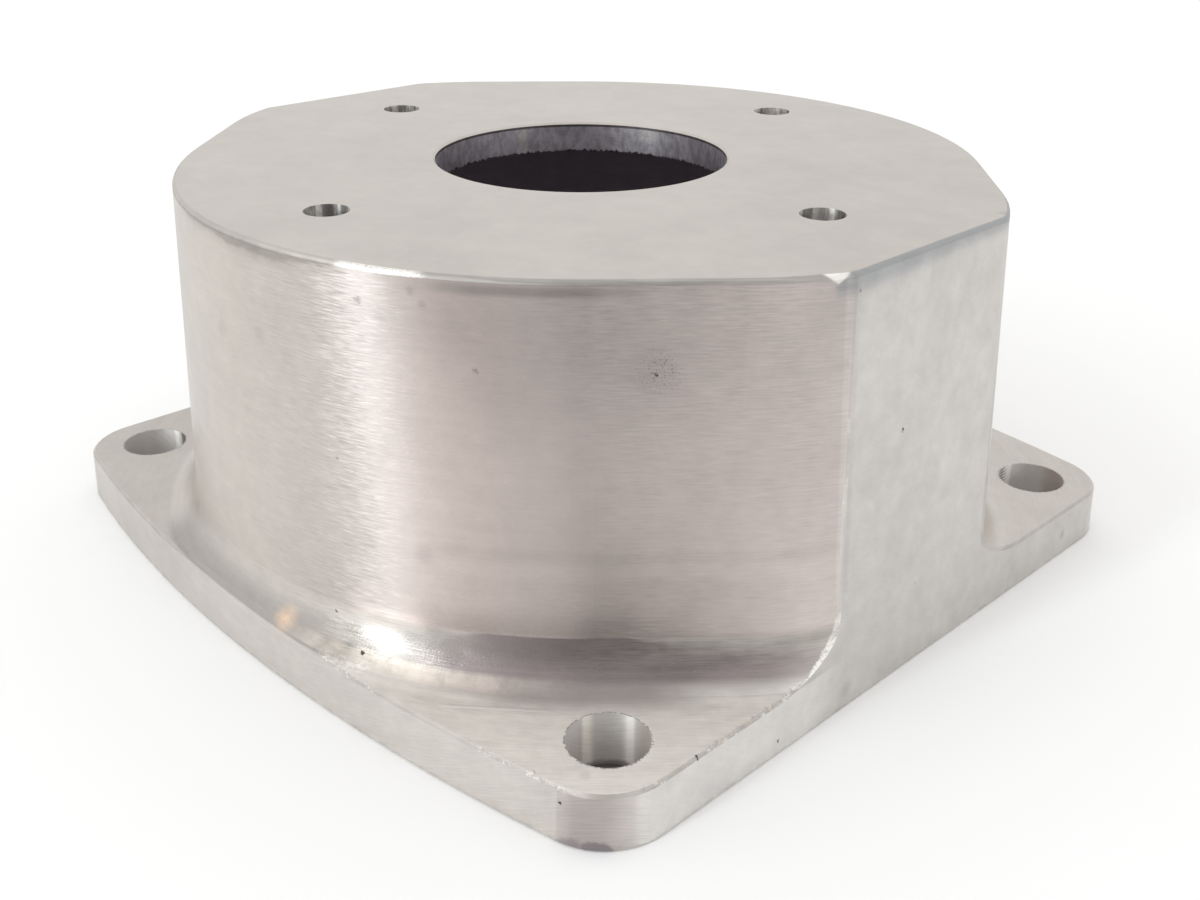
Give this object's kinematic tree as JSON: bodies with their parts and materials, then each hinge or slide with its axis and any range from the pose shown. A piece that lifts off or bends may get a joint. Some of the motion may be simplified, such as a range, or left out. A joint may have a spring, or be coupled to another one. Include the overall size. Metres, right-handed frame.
{
  "type": "pump bell housing",
  "caption": "Short flanged aluminium bell housing that joins a small pump to an engine or motor, with a pilot bore and bolt holes in its end plate.",
  "frame": {"origin": "on the pilot bore's axis, at the flange's mounting face", "axes": "+Z along the bore axis towards the pump face, +X towards one of the two flat sides, +Y towards one of the two round sides"},
  "size_m": [0.1336, 0.1318, 0.0603],
  "materials": {
    "sanded_aluminium": "bare, sanded to a satin grain on the sides, machined on the two faces"
  },
  "bodies": {
    "root": {"bell_housing": "sanded_aluminium"}
  },
  "joints": []
}
